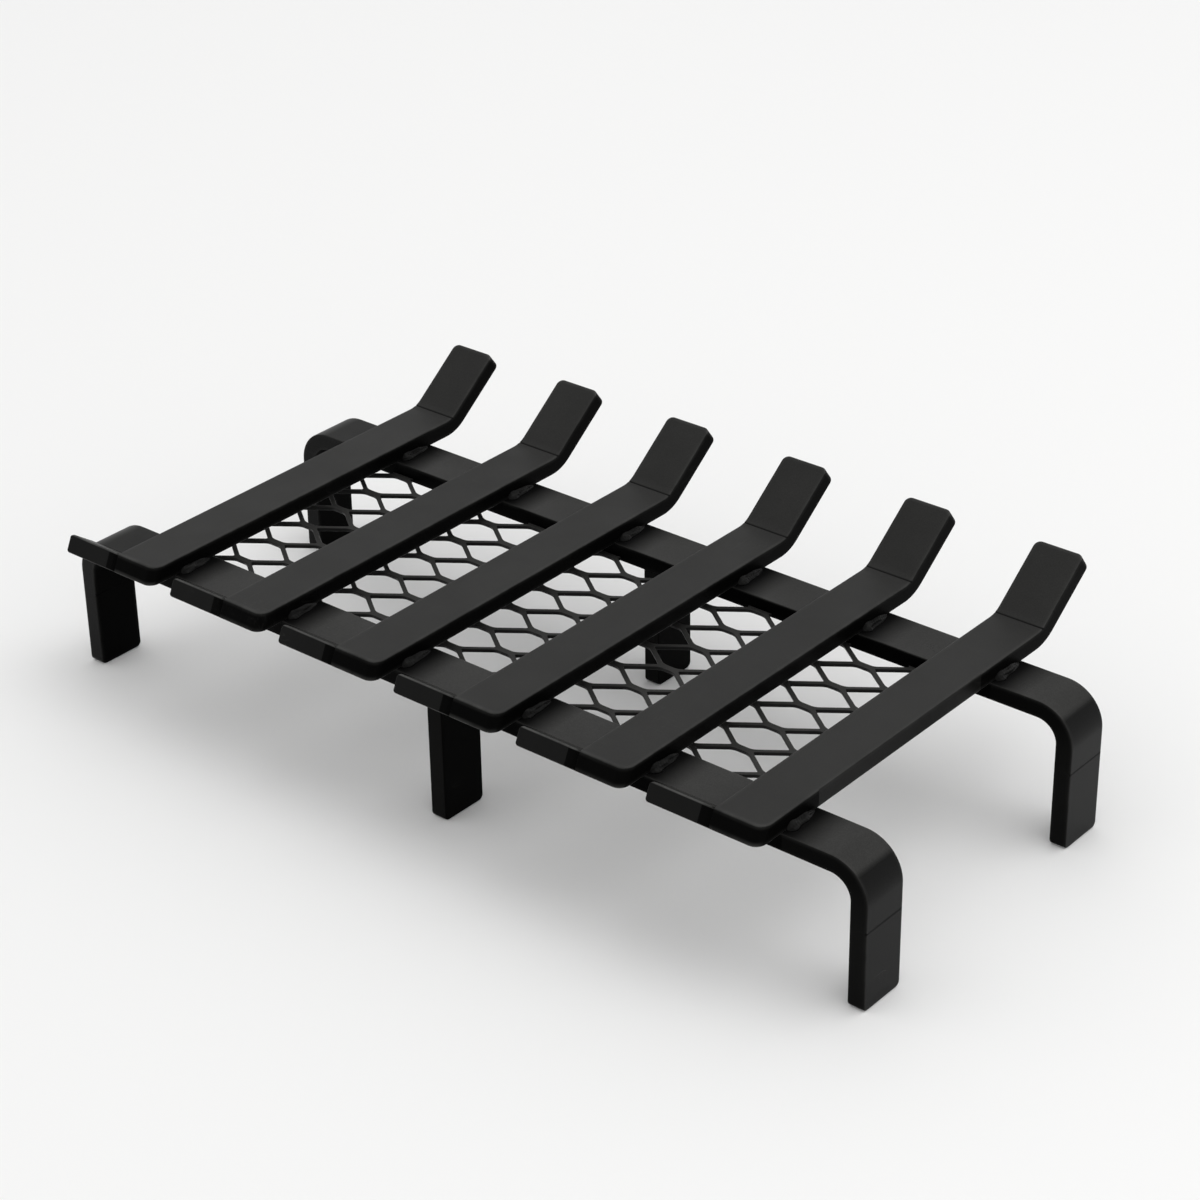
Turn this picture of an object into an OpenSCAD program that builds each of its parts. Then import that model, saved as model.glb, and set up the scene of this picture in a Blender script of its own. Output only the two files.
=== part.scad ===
// Six-bar welded log grate for an open fireplace, with an ember mesh between its two cross rails.
// Frame: +X is the long side (the right-hand end), +Y is the back, where the bars turn up, and +Z is up.
// The origin is the centre of the footprint, on the hearth. All sizes are in millimetres.

/* [Overall] */
// Width over the outer faces of the end legs
grate_w = 696; // [672:2:760]
// Height of the bars' flat top face above the hearth
bed_h = 117; // [96:1:160]
// Length of a bar's flat top face, from its front edge to the bend line
bar_run = 308; // [296:1:340]

/* [Flat bar stock] */
// Width of the flat bar that the bars, rails and legs are cut from
stock_w = 38; // [34:1:42]
// Thickness of the same flat bar
stock_t = 12.7; // [10:0.1:14]

/* [Grate bars] */
// Spacing of the bars, centre to centre
bar_pitch = 106; // [100:1:108]
// Length of the upturned rear end, from the bend line to the tip, on the top face
tip_len = 60; // [44:1:76]
// Angle of the upturned rear end above the flat run
tip_angle = 37; // [25:1:50]
// Radius of the bend on the bar's top face
bend_r = 8; // [4:1:12]
// Corner radius of the upturned tip
tip_corner_r = 5; // [2:0.5:8]
// How far a bar's bottom front edge stands ahead of its top front edge
end_slant = 6; // [3:0.5:8]
// Radius of the right-hand front corner of a bar
front_corner_r = 8; // [4:0.5:10]

/* [Rails and legs] */
// How far the bars' top front edge stands ahead of the front rail
front_overhang = 17.5; // [15:0.5:20]
// Distance from the front face of the front rail to the front face of the rear rail
rail_step = 228.5; // [216:0.5:236]
// Outside radius of the bend from a rail into its end legs
leg_bend_r = 28; // [22:1:34]
// Height of the seam between an upper leg and its foot piece
seam_h = 58; // [40:1:60]
// Corner radius at the bottom of a foot
foot_corner_r = 4; // [1:0.5:6]
// Sideways position of the middle legs' centre line
middle_leg_x = -1.6; // [-4:0.1:4]

/* [Front stops] */
// Length of a front stop, from the side of its bar
stop_len = 50; // [40:1:56]
// Wall thickness of the angle that the front stops are cut from
stop_t = 3; // [2:0.5:4]
// Corner radius at the free end of a front stop
stop_corner_r = 4; // [1:0.5:5]

/* [Ember mesh] */
// Long pitch of the expanded mesh, along the rails
mesh_long = 67.2; // [64:0.1:70]
// Short pitch of the expanded mesh, from front to back
mesh_short = 33.5; // [32:0.1:35]
// Plan width of a strand
strand_w = 2.8; // [2:0.1:3.4]
// Plan width of the mesh where two strands join
bond_w = 4.6; // [3.6:0.1:5.6]
// Length of the joined stretch between two strands
bond_len = 11; // [9:0.5:16]
// Height of the mesh from its lowest to its highest face
mesh_t = 3.2; // [2:0.1:4]
// Width of the mesh panel
mesh_w = 530; // [500:1:560]

/* [Welds] */
// Leg size of the beads between bars and rails
bead_r = 5.5; // [3:0.5:6.5]
// Length of the beads between bars and rails
bead_len = 29; // [20:1:32]
// Leg size of the beads at the tops of the middle legs
leg_bead_r = 4; // [2:0.5:5]
// Length of the beads at the tops of the middle legs
leg_bead_len = 26; // [18:1:30]

/* [Hidden] */
$fn = 64;
bar_count = 6;
first_bar_x = -(bar_count - 1) / 2 * bar_pitch;
rail_top = bed_h - stock_t;
rail_bottom = rail_top - stock_t;
depth = end_slant + bar_run + tip_len * cos(tip_angle) + stock_t * sin(tip_angle);
front_bottom_y = -depth / 2;
front_top_y = front_bottom_y + end_slant;
bend_y = front_top_y + bar_run;
slant_angle = atan(end_slant / stock_t);
bend_cut = bend_r * tan(tip_angle / 2);
bend_steps = 12;
front_rail_y = front_top_y + front_overhang;
rear_rail_y = front_rail_y + rail_step;
leg_inner_r = leg_bend_r - stock_t;
mesh_y0 = front_rail_y + stock_w;
mesh_y1 = rear_rail_y;
mesh_half = mesh_w / 2;
joint_x = -5.5;
joint_back = 10.6;
joint_y = (mesh_y0 + mesh_y1) / 2 + joint_back;
strand_angle = atan((mesh_short / 2) / (mesh_long / 2 - bond_len));
cell_end = mesh_long / 2 - bond_len / 2 - strand_w / 2 / sin(strand_angle);
cell_half = mesh_short / 2 - bond_w / 2;
cell_top = cell_end - cell_half / tan(strand_angle);
past = 1;
ease = 0.02;

// Point i along a bend of radius r about the centre of the bend, as (y, z)
function bend_point(r, i) = r * [sin(tip_angle * i / bend_steps), -cos(tip_angle * i / bend_steps)];

// Centre line of bar n, counted from the left
function bar_x(n) = first_bar_x + (n - 1) * bar_pitch;

// What rounds a square corner whose material lies at -X and -Y, along Z for h about the origin.
// The round runs past both faces by ease, so that it crosses them in a definite line.
module corner_cutter(r, h) {
    difference() {
        translate([ease - r, ease - r, -h / 2]) cube([r + past, r + past, h]);
        translate([ease - r, ease - r, -h / 2 - past]) cylinder(r = r, h = h + 2 * past);
    }
}

// Side profile of a bar about the centre of its bend, as (y, z), a little longer than the bar at both ends
module bar_profile() {
    front = bend_y - bend_cut - front_bottom_y + past;
    back = tip_len - bend_cut + past;
    outer_r = bend_r + stock_t;
    tip_dir = [cos(tip_angle), sin(tip_angle)];
    polygon(concat(
        [[-front, -outer_r], [-front, -bend_r]],
        [for (i = [0 : bend_steps]) bend_point(bend_r, i)],
        [bend_point(bend_r, bend_steps) + back * tip_dir, bend_point(outer_r, bend_steps) + back * tip_dir],
        [for (i = [bend_steps : -1 : 0]) bend_point(outer_r, i)]
    ));
}

// One bar: a flat run with a slanted front end, a bend, and an upturned rear end with round corners
module grate_bar() {
    difference() {
        translate([-stock_w / 2, bend_y - bend_cut, bed_h + bend_r]) rotate([90, 0, 90])
            linear_extrude(height = stock_w) bar_profile();
        translate([0, front_top_y, bed_h]) rotate([-slant_angle, 0, 0]) {
            translate([-stock_w, -stock_w, -2 * stock_t]) cube([2 * stock_w, stock_w, 4 * stock_t]);
            translate([stock_w / 2, 0, 0]) mirror([0, 1, 0]) corner_cutter(front_corner_r, 4 * stock_t);
        }
        translate([0, bend_y, bed_h]) rotate([tip_angle, 0, 0]) translate([0, tip_len, 0]) {
            translate([-stock_w, 0, -2 * stock_t]) cube([2 * stock_w, stock_w, 4 * stock_t]);
            translate([stock_w / 2, 0, 0]) corner_cutter(tip_corner_r, 4 * stock_t);
            translate([-stock_w / 2, 0, 0]) mirror([1, 0, 0]) corner_cutter(tip_corner_r, 4 * stock_t);
        }
    }
}

// Section of a front stop, as (y, z): the slanted face, and a rear leg down to the rail's front face
module stop_section() {
    run = front_overhang;
    rear_angle = atan(stock_t / run);
    cut = stop_t / cos(rear_angle);
    foot = stop_t / cos(slant_angle);
    // inner corner, where the inside of the slanted face meets the inside of the rear leg
    t = (cut + foot * tan(rear_angle)) / (stock_t + end_slant * tan(rear_angle));
    polygon([
        [front_top_y, bed_h],
        [front_bottom_y, rail_top],
        [front_bottom_y + foot, rail_top],
        [front_top_y + foot - end_slant * t, bed_h - stock_t * t],
        [front_rail_y, rail_top - cut],
        [front_rail_y, rail_top]
    ]);
}

// One front stop: a short length of thin angle, apex up, between its bar and the next one to the left
module front_stop() {
    end_x = -stock_w / 2 - stop_len;
    slope = stock_t / cos(slant_angle);
    difference() {
        translate([end_x, 0, 0]) rotate([90, 0, 90]) linear_extrude(height = stop_len) stop_section();
        translate([end_x, front_top_y, bed_h]) rotate([-slant_angle, 0, 0]) {
            mirror([1, 0, 0]) rotate([90, 0, 0]) corner_cutter(stop_corner_r, 4 * stock_w);
            translate([0, 0, -slope]) rotate([0, 180, 0]) rotate([90, 0, 0])
                corner_cutter(stop_corner_r, 2 * stop_t + 2 * past);
        }
    }
}

// Outline of a bent rail, as (x, z): half-width hw, top at z = top, bend radius r
module arch_outline(hw, top, r) {
    translate([-hw, 0]) square([2 * hw, top - r]);
    translate([-hw + r, 0]) square([2 * hw - 2 * r, top]);
    translate([-hw + r, top - r]) circle(r = r);
    translate([hw - r, top - r]) circle(r = r);
}

// One rail: flat bar bent down at both ends into the upper half of its end legs
module bent_rail(y) {
    translate([0, y + stock_w, 0]) rotate([90, 0, 0]) linear_extrude(height = stock_w) difference() {
        arch_outline(grate_w / 2, rail_top, leg_bend_r);
        arch_outline(grate_w / 2 - stock_t, rail_bottom, leg_inner_r);
        translate([-grate_w, -past]) square([2 * grate_w, seam_h + past]);
    }
}

// A length of flat bar standing on the hearth, with its left face at x, its front face at y and height h
module standing_bar(x, y, h) {
    translate([x, y, 0]) rotate([90, 0, 90]) linear_extrude(height = stock_t) {
        translate([0, foot_corner_r]) square([stock_w, h - foot_corner_r]);
        translate([foot_corner_r, 0]) square([stock_w - 2 * foot_corner_r, 2 * foot_corner_r]);
        translate([foot_corner_r, foot_corner_r]) circle(r = foot_corner_r);
        translate([stock_w - foot_corner_r, foot_corner_r]) circle(r = foot_corner_r);
    }
}

// One opening of the expanded mesh
module mesh_cell() {
    polygon([
        [-cell_end, 0], [-cell_top, cell_half], [cell_top, cell_half],
        [cell_end, 0], [cell_top, -cell_half], [-cell_top, -cell_half]
    ]);
}

// Place of column i and row j of the mesh: an opening where i + j is odd, a joint of strands where it is even
function mesh_x(i) = joint_x + i * mesh_long / 2;
function mesh_y(j) = joint_y + j * mesh_short / 2;

// True where the joint at column i and row j lies wholly beside the panel
function beside(i, j) = abs(mesh_x(i)) > mesh_half + mesh_long / 2 - cell_end
    || mesh_y(j) < mesh_y0 - bond_w / 2 || mesh_y(j) > mesh_y1 + bond_w / 2;

// What trims off the strand to the right of the joint at column i and row j, rearwards for s = 1
// and forwards for s = -1
module strand_cutter(i, j, s) {
    translate([mesh_x(i) + mesh_long / 4, mesh_y(j) + s * mesh_short / 4]) rotate(s * strand_angle)
        square([(mesh_long / 2 - bond_len) / cos(strand_angle), 1.3 * strand_w], center = true);
}

// The mesh panel as a flat outline, with its cut edges against the two rails.
// A strand across a corner of the panel that no joint in the panel holds is trimmed off.
module mesh_outline() {
    columns = ceil((mesh_half + abs(joint_x)) / (mesh_long / 2)) + 1;
    rows = ceil((mesh_y1 - mesh_y0) / mesh_short) + 2;
    difference() {
        translate([-mesh_half, mesh_y0]) square([mesh_w, mesh_y1 - mesh_y0]);
        for (i = [-columns : columns]) {
            for (j = [-rows : rows]) {
                if ((i + j) % 2 != 0) {
                    translate([mesh_x(i), mesh_y(j)]) mesh_cell();
                } else {
                    for (s = [-1, 1]) {
                        if (beside(i, j) && beside(i + 1, j + s)) strand_cutter(i, j, s);
                    }
                }
            }
        }
    }
}

// A convex weld bead of leg size r and length len along Y, in the corner that opens to +X and +Z
module bead(r, len) {
    translate([0, len / 2, 0]) rotate([90, 0, 0]) linear_extrude(height = len) intersection() {
        circle(r = r);
        square([2 * r, 2 * r]);
    }
}

// The beads on both sides of every bar, on the rail whose front face is at y
module bar_beads(y) {
    for (n = [1 : bar_count]) {
        translate([bar_x(n) + stock_w / 2, y + stock_w / 2, rail_top]) bead(bead_r, bead_len);
        translate([bar_x(n) - stock_w / 2, y + stock_w / 2, rail_top])
            mirror([1, 0, 0]) bead(bead_r, bead_len);
    }
}

// The beads on both sides of the top of the middle leg, under the rail whose front face is at y
module leg_beads(y) {
    translate([middle_leg_x + stock_t / 2, y + stock_w / 2, rail_bottom])
        mirror([0, 0, 1]) bead(leg_bead_r, leg_bead_len);
    translate([middle_leg_x - stock_t / 2, y + stock_w / 2, rail_bottom])
        mirror([0, 0, 1]) mirror([1, 0, 0]) bead(leg_bead_r, leg_bead_len);
}

module grate_bar_1() { color("#3e3e3d") translate([bar_x(1), 0, 0]) grate_bar(); }
module grate_bar_2() { color("#3e3e3d") translate([bar_x(2), 0, 0]) grate_bar(); }
module grate_bar_3() { color("#3e3e3d") translate([bar_x(3), 0, 0]) grate_bar(); }
module grate_bar_4() { color("#3e3e3d") translate([bar_x(4), 0, 0]) grate_bar(); }
module grate_bar_5() { color("#3e3e3d") translate([bar_x(5), 0, 0]) grate_bar(); }
module grate_bar_6() { color("#3e3e3d") translate([bar_x(6), 0, 0]) grate_bar(); }

module front_stop_1() { color("#2c2c2a") translate([bar_x(1), 0, 0]) front_stop(); }
module front_stop_2() { color("#2c2c2a") translate([bar_x(2), 0, 0]) front_stop(); }
module front_stop_3() { color("#2c2c2a") translate([bar_x(3), 0, 0]) front_stop(); }
module front_stop_4() { color("#2c2c2a") translate([bar_x(4), 0, 0]) front_stop(); }
module front_stop_5() { color("#2c2c2a") translate([bar_x(5), 0, 0]) front_stop(); }
module front_stop_6() { color("#2c2c2a") translate([bar_x(6), 0, 0]) front_stop(); }

module front_rail() { color("#343434") bent_rail(front_rail_y); }
module rear_rail() { color("#343434") bent_rail(rear_rail_y); }

module foot_front_left() { color("#3a3a39") standing_bar(-grate_w / 2, front_rail_y, seam_h); }
module foot_front_right() { color("#3a3a39") standing_bar(grate_w / 2 - stock_t, front_rail_y, seam_h); }
module foot_rear_left() { color("#3a3a39") standing_bar(-grate_w / 2, rear_rail_y, seam_h); }
module foot_rear_right() { color("#3a3a39") standing_bar(grate_w / 2 - stock_t, rear_rail_y, seam_h); }

module middle_leg_front() {
    color("#3a3a39") standing_bar(middle_leg_x - stock_t / 2, front_rail_y, rail_bottom);
}
module middle_leg_rear() {
    color("#3a3a39") standing_bar(middle_leg_x - stock_t / 2, rear_rail_y, rail_bottom);
}

module ember_mesh() {
    color("#242424") translate([0, 0, rail_bottom]) linear_extrude(height = mesh_t) mesh_outline();
}

module welds_front_rail() { color("#555552") bar_beads(front_rail_y); }
module welds_rear_rail() { color("#555552") bar_beads(rear_rail_y); }
module welds_middle_legs() {
    color("#555552") {
        leg_beads(front_rail_y);
        leg_beads(rear_rail_y);
    }
}

grate_bar_1();
grate_bar_2();
grate_bar_3();
grate_bar_4();
grate_bar_5();
grate_bar_6();
front_stop_1();
front_stop_2();
front_stop_3();
front_stop_4();
front_stop_5();
front_stop_6();
front_rail();
rear_rail();
foot_front_left();
foot_front_right();
foot_rear_left();
foot_rear_right();
middle_leg_front();
middle_leg_rear();
ember_mesh();
welds_front_rail();
welds_rear_rail();
welds_middle_legs();
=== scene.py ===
"""Looks of the six-bar welded log grate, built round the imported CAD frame. All sizes are in metres."""

import math

import bmesh
import bpy
from bpy.props import FloatProperty, FloatVectorProperty, IntProperty, PointerProperty
from mathutils import Matrix, Vector, noise


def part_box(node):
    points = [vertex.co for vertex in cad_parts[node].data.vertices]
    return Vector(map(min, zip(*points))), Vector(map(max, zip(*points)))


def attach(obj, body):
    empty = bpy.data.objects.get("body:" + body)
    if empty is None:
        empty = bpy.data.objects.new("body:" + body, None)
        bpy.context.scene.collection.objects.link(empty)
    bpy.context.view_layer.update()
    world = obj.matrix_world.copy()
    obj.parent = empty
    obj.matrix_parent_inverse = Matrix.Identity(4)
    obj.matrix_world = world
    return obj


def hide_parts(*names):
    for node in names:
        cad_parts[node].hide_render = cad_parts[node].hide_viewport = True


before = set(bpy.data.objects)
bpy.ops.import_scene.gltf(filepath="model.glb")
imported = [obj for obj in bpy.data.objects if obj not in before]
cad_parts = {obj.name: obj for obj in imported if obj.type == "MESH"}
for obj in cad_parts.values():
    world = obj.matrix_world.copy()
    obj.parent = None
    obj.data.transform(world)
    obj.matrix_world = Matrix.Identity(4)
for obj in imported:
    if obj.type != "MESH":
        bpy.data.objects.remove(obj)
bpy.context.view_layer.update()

bl_info = {
    "name": "Log Grate",
    "version": (1, 0, 0),
    "blender": (4, 5, 0),
    "location": "3D View > Sidebar > Log Grate",
    "description": "Builds the bars, stops, rails, legs, ember mesh and welds of a log grate",
    "category": "Object",
}

# ------------------------------------------------------------------ sizes that the frame gives

BARS = [f"grate_bar_{n}" for n in range(1, 7)]
STOPS = [f"front_stop_{n}" for n in range(1, 7)]
RAILS = ["front_rail", "rear_rail"]
FEET = ["foot_front_left", "foot_front_right", "foot_rear_left", "foot_rear_right"]
MIDDLE_LEGS = ["middle_leg_front", "middle_leg_rear"]

BAR_LOW, BAR_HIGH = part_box(BARS[0])
STOCK_W = BAR_HIGH.x - BAR_LOW.x
STOCK_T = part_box(FEET[0])[1].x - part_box(FEET[0])[0].x
RAIL_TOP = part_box(RAILS[0])[1].z
RAIL_BOTTOM = RAIL_TOP - STOCK_T
BED_H = RAIL_TOP + STOCK_T
HALF_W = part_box(RAILS[0])[1].x
SEAM_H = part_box(FEET[0])[1].z

# ------------------------------------------------------------------ small fixed sizes

SAWN_CORNER = 0.0003  # corner radius of a square-cut end
BUTT_SHARE = 0.2  # how much of the edge rounding a butted end has
FAINT = 0.2  # share of the full edge wear and painted glint on the rails, the legs and the stops' free ends
PEEL_DEPTH = 0.00006  # height of the coat's orange peel
MERGE = 2e-6  # points closer than this become one

# How far a face has to turn one way, as a part of its normal, to take the coat of that side.
CLEARLY, MOSTLY, PARTLY = 0.7, 0.5, 0.2


# ------------------------------------------------------------------ what a user would change


def length(label, what, value, low=0.0, high=1.0):
    return FloatProperty(
        name=label, description=what, default=value, min=low, max=high,
        precision=5, unit="LENGTH", subtype="DISTANCE",
    )


def share(label, what, value, high=1.0):
    return FloatProperty(
        name=label, description=what, default=value, min=0.0, max=high, subtype="FACTOR"
    )


def colour(label, what, value):
    return FloatVectorProperty(
        name=label, description=what, default=value, min=0.0, max=1.0, size=3, subtype="COLOR"
    )


class GrateSizes(bpy.types.PropertyGroup):
    """Sizes of the grate's bent, cut and rounded forms."""

    edge: length("Edge rounding", "Radius of the flat bar's rolled edges", 0.0010, 0.0003, 0.003)
    tip_angle: FloatProperty(
        name="Tip angle", description="Angle of the upturned rear end above the flat run",
        default=math.radians(37), min=0.3, max=1.0, subtype="ANGLE",
    )
    bend_r: length("Bend radius", "Radius of the bend on a bar's top face", 0.020, 0.002, 0.04)
    tip_corner: length("Tip corner", "Radius of the upturned tip's corners", 0.0050)
    front_corner: length("Front corner", "Radius of a bar's right-hand front corner", 0.008)
    end_slant: length("End slant", "How far a bar's bottom front edge stands ahead of its top", 0.006)
    crease: length("Crease", "Depth of the line that the press leaves across the bend", 0.0006)
    crease_w: length("Crease width", "Width of that line", 0.0018)
    leg_bend: length("Leg bend", "Outside radius of the bend from a rail into its legs", 0.028)
    seam: length("Seam", "Width of the dark hairline on each side of a butted seam", 0.0012)
    foot_corner: length("Foot corner", "Radius of a foot's bottom corners", 0.004)
    stop_wall: length("Stop wall", "Wall of the thin angle that the front stops are cut from", 0.003)
    stop_corner: length("Stop corner", "Radius at the free end of a front stop", 0.004)
    # painted shade: width of the darker patch on a stop's front beside its bar, which takes the shaded copy
    # of the coat
    stop_tack: length("Stop tack", "Width of the dull patch where a stop is welded to its bar", 0.009)
    # painted shade: how far the darkened band beside each bar reaches across a rail
    shelter: length("Shelter", "How far the dull band reaches across a rail from a bar's right side", 0.026)


class MeshSizes(bpy.types.PropertyGroup):
    """Sizes of the expanded ember mesh."""

    long_pitch: length("Long pitch", "Pitch of the openings along the rails", 0.0672)
    short_pitch: length("Short pitch", "Pitch of the openings from front to back", 0.0335)
    sheet: length("Sheet", "Thickness of the sheet that the mesh is made from", 0.0032)
    strand: length("Strand", "Plan width of a strand", 0.0035)
    joint_w: length("Joint width", "Plan width where two strands join", 0.0055)
    joint_len: length("Joint length", "Length of the joined stretch", 0.0108)
    joint_x: length("Joint across", "Sideways place of one joint", -0.0055, -1.0)
    joint_y: length("Joint back", "How far one joint lies behind the panel's middle", 0.0106)
    rounding: length("Strand rounding", "Radius of the strands' edges", 0.0005)
    flow: length("Flow", "Radius where a strand runs into a joint", 0.0095)
    lean: length("Lean", "How far a strand's top leans back of its bottom", -0.0012, -0.01)


class WeldSizes(bpy.types.PropertyGroup):
    """Sizes of the weld beads."""

    ripple: length("Ripple", "Spacing of the ripples along a bead", 0.0024, 0.0005, 0.01)
    ripple_share: share("Ripple height", "Height of the ripples as a share of the bead", 0.11)
    lump_share: share("Lumps", "Uneven thickness as a share of the bead", 0.24)
    flat_face: share("Flat face", "How much flatter than a quarter round a bead's face is", 0.75, 1.5)
    run_in: length("Run in", "Length of the round lump that a bead starts with", 0.0045)
    run_out: length("Run out", "Length over which a bead thins out at its end", 0.0100)
    seed: IntProperty(name="Seed", description="Chooses the pattern of lumps", default=11)


class GrateFinish(bpy.types.PropertyGroup):
    """Colours of the coat, its shaded copies that paint shade, the wear with its painted glints, and the
    ash with its painted top light.
    """

    bar: colour("Bar coat", "Coat on the bars", (0.0050, 0.0050, 0.0048))
    stop: colour("Stop coat", "Coat on the front stops", (0.0050, 0.0050, 0.0048))
    rail: colour("Rail coat", "Coat on the rails", (0.0036, 0.0036, 0.0035))
    leg: colour("Leg coat", "Coat on the feet and middle legs", (0.0036, 0.0036, 0.0035))
    mesh: colour("Mesh coat", "Coat on the ember mesh", (0.0038, 0.0038, 0.0037))
    weld: colour("Weld coat", "Coat over the weld beads", (0.0030, 0.0030, 0.0029))
    # painted shade: colour of the darker copy of the coat that faces in shade take
    matt: colour("Matt coat", "Coat on sawn ends and narrow sides", (0.0013, 0.0013, 0.00125))
    # painted shade: colour of the half-shaded copy on front faces that lie partly in shade
    side: colour("Side coat", "Coat on the legs' narrow front sides", (0.0042, 0.0042, 0.0040))
    # painted glint: the rubbed colour also lightens worn edges as highlights would
    rubbed: colour("Rubbed coat", "Coat where handling has polished it", (0.12, 0.12, 0.115))
    # ash and painted top light: the pale film on faces that look up
    dust: colour("Ash", "Fine ash that settles on the coat", (0.10, 0.099, 0.095))


class StageSettings(bpy.types.PropertyGroup):
    """Floor, lamps and camera."""

    floor: colour("Floor", "Pale studio floor", (0.88, 0.88, 0.876))
    air: colour("Air", "Soft light from all round", (1.0, 1.0, 1.0))
    air_strength: FloatProperty(
        name="Air strength", description="Strength of the light from all round", default=0.92, min=0.0
    )
    overhead: FloatProperty(
        name="Overhead", description="Power of the large lamp above", default=44.0, min=0.0, unit="POWER"
    )
    side: FloatProperty(
        name="Side", description="Power of the lamp on the right", default=3.0, min=0.0, unit="POWER"
    )
    lens: FloatProperty(
        name="Lens", description="Focal length on a 36 mm wide sensor, in millimetres",
        default=91.15, min=10.0,
    )


# ------------------------------------------------------------------ mesh tools


def add_piece(name, bm, nodes, slot, *coats):
    """Makes one piece of a finished mesh, seats it on the frame and gives it its coats."""
    bmesh.ops.remove_doubles(bm, verts=bm.verts, dist=MERGE)
    bmesh.ops.dissolve_degenerate(bm, edges=bm.edges, dist=MERGE / 2)
    bmesh.ops.recalc_face_normals(bm, faces=bm.faces)
    data = bpy.data.meshes.new(name)
    bm.to_mesh(data)
    bm.free()
    for face in data.polygons:
        face.use_smooth = True
    piece = bpy.data.objects.new(name, data)
    bpy.context.scene.collection.objects.link(piece)
    for coat in coats:
        data.materials.append(coat)
    even = piece.modifiers.new("even_faces", "WEIGHTED_NORMAL")
    even.mode = "FACE_AREA"
    even.weight = 80
    even.keep_sharp = True
    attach(piece, "root")
    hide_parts(*nodes)


def rub_layer(bm):
    """The layer that holds a coat's edge wear and painted glints. Below zero it holds painted shade and the
    dark seam lines: how dull and dark the coat is.
    """
    return bm.verts.layers.float.get("rub") or bm.verts.layers.float.new("rub")


def join_rings(bm, rings):
    """Joins each ring of points to the next with a band of faces."""
    for a, b in zip(rings, rings[1:]):
        for k in range(len(a)):
            n = (k + 1) % len(a)
            bm.faces.new((a[k], a[n], b[n], b[k]))


def corner_arc(cx, cs, rx, rs, side, front, steps):
    """Points of a rounded corner of a plate, from the front or back edge to the side edge."""
    away = -rs if front else rs
    turns = [math.pi / 2 * k / steps for k in range(steps + 1)]
    return [(cx + side * rx * math.sin(a), cs + away * math.cos(a)) for a in turns]


def plate_sides(low, high, start, end, corners, ends, stations, inset, steps=7):
    """The left and right edges of a plate, drawn in by inset, as matched rows of (across, along) points.
    corners holds the four radii: start left, start right, end left, end right. ends scales the inset at
    the start and at the end, so that a butted end can stay tight."""
    rows = []
    for side, edge, radii in ((-1, low, corners[0::2]), (1, high, corners[1::2])):
        inner = edge - side * inset
        row = []
        for radius, at, scale, front in zip(radii, (start, end), ends, (True, False)):
            away = 1 if front else -1
            deep, along = inset * scale, radius * scale
            cx = edge - side * max(radius, inset)
            cs = at + away * max(along, deep)
            arc = corner_arc(cx, cs, max(radius - inset, 0), max(along - deep, 0), side, front, steps)
            if front:
                row += arc
                row += [(inner, s) for s in stations]
            else:
                row += arc[::-1]
        rows.append(row)
    return rows


def edge_levels(thick, edge, steps=4, guard=0.002):
    """Levels through a plate's thickness as (inset, depth, rub): two rounded edges with guard loops. rub is
    the share of edge wear and painted glint.
    """
    top = [(edge + guard, 0.0, 0.0), (edge, 0.0, 0.45)]
    for k in range(1, steps):
        a = math.pi / 2 * k / steps
        top.append((edge - edge * math.sin(a), edge - edge * math.cos(a), 1.0))
    top += [(0.0, edge, 0.45), (0.0, edge + guard, 0.0)]
    return top + [(i, thick - d, r) for i, d, r in reversed(top)]


def plate(sides_at, levels, place, mark):
    """A closed plate with rounded edges. sides_at(inset) gives its two edges, place(across, along, depth)
    bends it into the frame, and mark(along, depth, rub) gives what the rub layer holds: edge wear with
    painted glint, or below zero painted shade and seam lines."""
    bm = bmesh.new()
    layer = rub_layer(bm)
    rings = []
    for inset, depth, rub in levels:
        left, right = sides_at(inset)
        ring = []
        for across, along in left + right[::-1]:
            v = bm.verts.new(place(across, along, depth))
            v[layer] = mark(along, depth, rub)
            ring.append(v)
        rings.append(ring)
    join_rings(bm, rings)
    count = len(rings[0])
    half = count // 2
    for ring in (rings[0], rings[-1]):
        for k in range(half - 1):
            bm.faces.new((ring[k], ring[k + 1], ring[count - 2 - k], ring[count - 1 - k]))
    return bm


def spread(start, end, count):
    """count even steps from start to end, without the two ends."""
    return [start + (end - start) * (k + 1) / (count + 1) for k in range(count)]


def round_outline(points, radii, steps):
    """A closed outline with each corner rounded by its own radius."""
    out = []
    count = len(points)
    for k in range(count):
        here = Vector(points[k])
        before = (Vector(points[k - 1]) - here).normalized()
        after = (Vector(points[(k + 1) % count]) - here).normalized()
        half = before.angle(after) / 2
        reach = radii[k] / math.tan(half)
        middle = here + (before + after).normalized() * (radii[k] / math.sin(half))
        first = here + before * reach - middle
        last = here + after * reach - middle
        turn = math.atan2(first.x * last.y - first.y * last.x, first.dot(last))
        for j in range(steps + 1):
            a = turn * j / steps
            out.append((
                middle.x + first.x * math.cos(a) - first.y * math.sin(a),
                middle.y + first.x * math.sin(a) + first.y * math.cos(a),
            ))
    return out


def keep_largest(bm):
    """Removes every loose part of a mesh but its largest, such as a scrap that a cut leaves in a corner."""
    left = set(bm.verts)
    parts = []
    while left:
        stack = [left.pop()]
        part = set(stack)
        while stack:
            near = {v for edge in stack.pop().link_edges for v in edge.verts} & left
            left -= near
            part |= near
            stack += near
        parts.append(part)
    largest = max(parts, key=len)
    bmesh.ops.delete(bm, geom=[v for v in bm.verts if v not in largest], context="VERTS")


# ------------------------------------------------------------------ coats


def built_once(build):
    """Lets a shader group be built at its first use, under its function's name, and shared after that."""
    def group():
        return bpy.data.node_groups.get(build.__name__) or build(build.__name__)
    return group


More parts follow.
